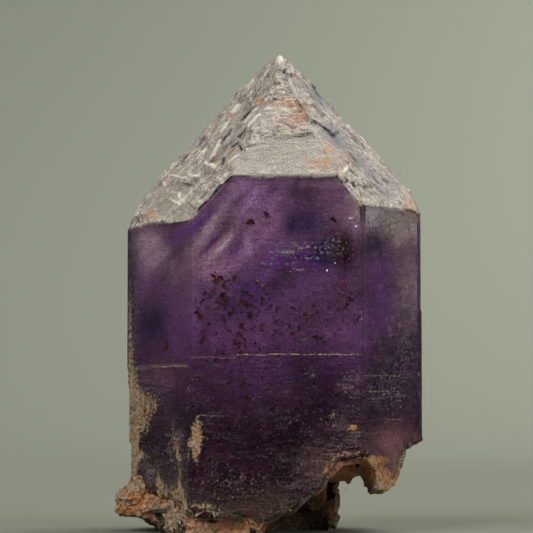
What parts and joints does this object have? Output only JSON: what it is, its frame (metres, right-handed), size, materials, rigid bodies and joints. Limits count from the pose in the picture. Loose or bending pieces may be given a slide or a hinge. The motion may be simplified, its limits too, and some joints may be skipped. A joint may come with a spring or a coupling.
{
  "type": "amethyst crystal point",
  "caption": "Amethyst quartz point: hexagonal prism with frosted six-sided tip, phantom veils, dark red flakes, small silvery fluid films and broken root it stands on.",
  "frame": {"origin": "centre of the bounding box on the plane that the broken root rests on", "axes": "+Z along the crystal's c axis to the tip, -Y out of the widest prism face, +X to the right when that face is looked at"},
  "size_m": [0.0264, 0.018, 0.0409],
  "materials": {
    "amethyst_quartz": "clear violet quartz with smooth prism faces, frosted grey-white termination and tan mineral coat at the root"
  },
  "bodies": {
    "root": {"amethyst_crystal": "amethyst_quartz"}
  },
  "joints": []
}
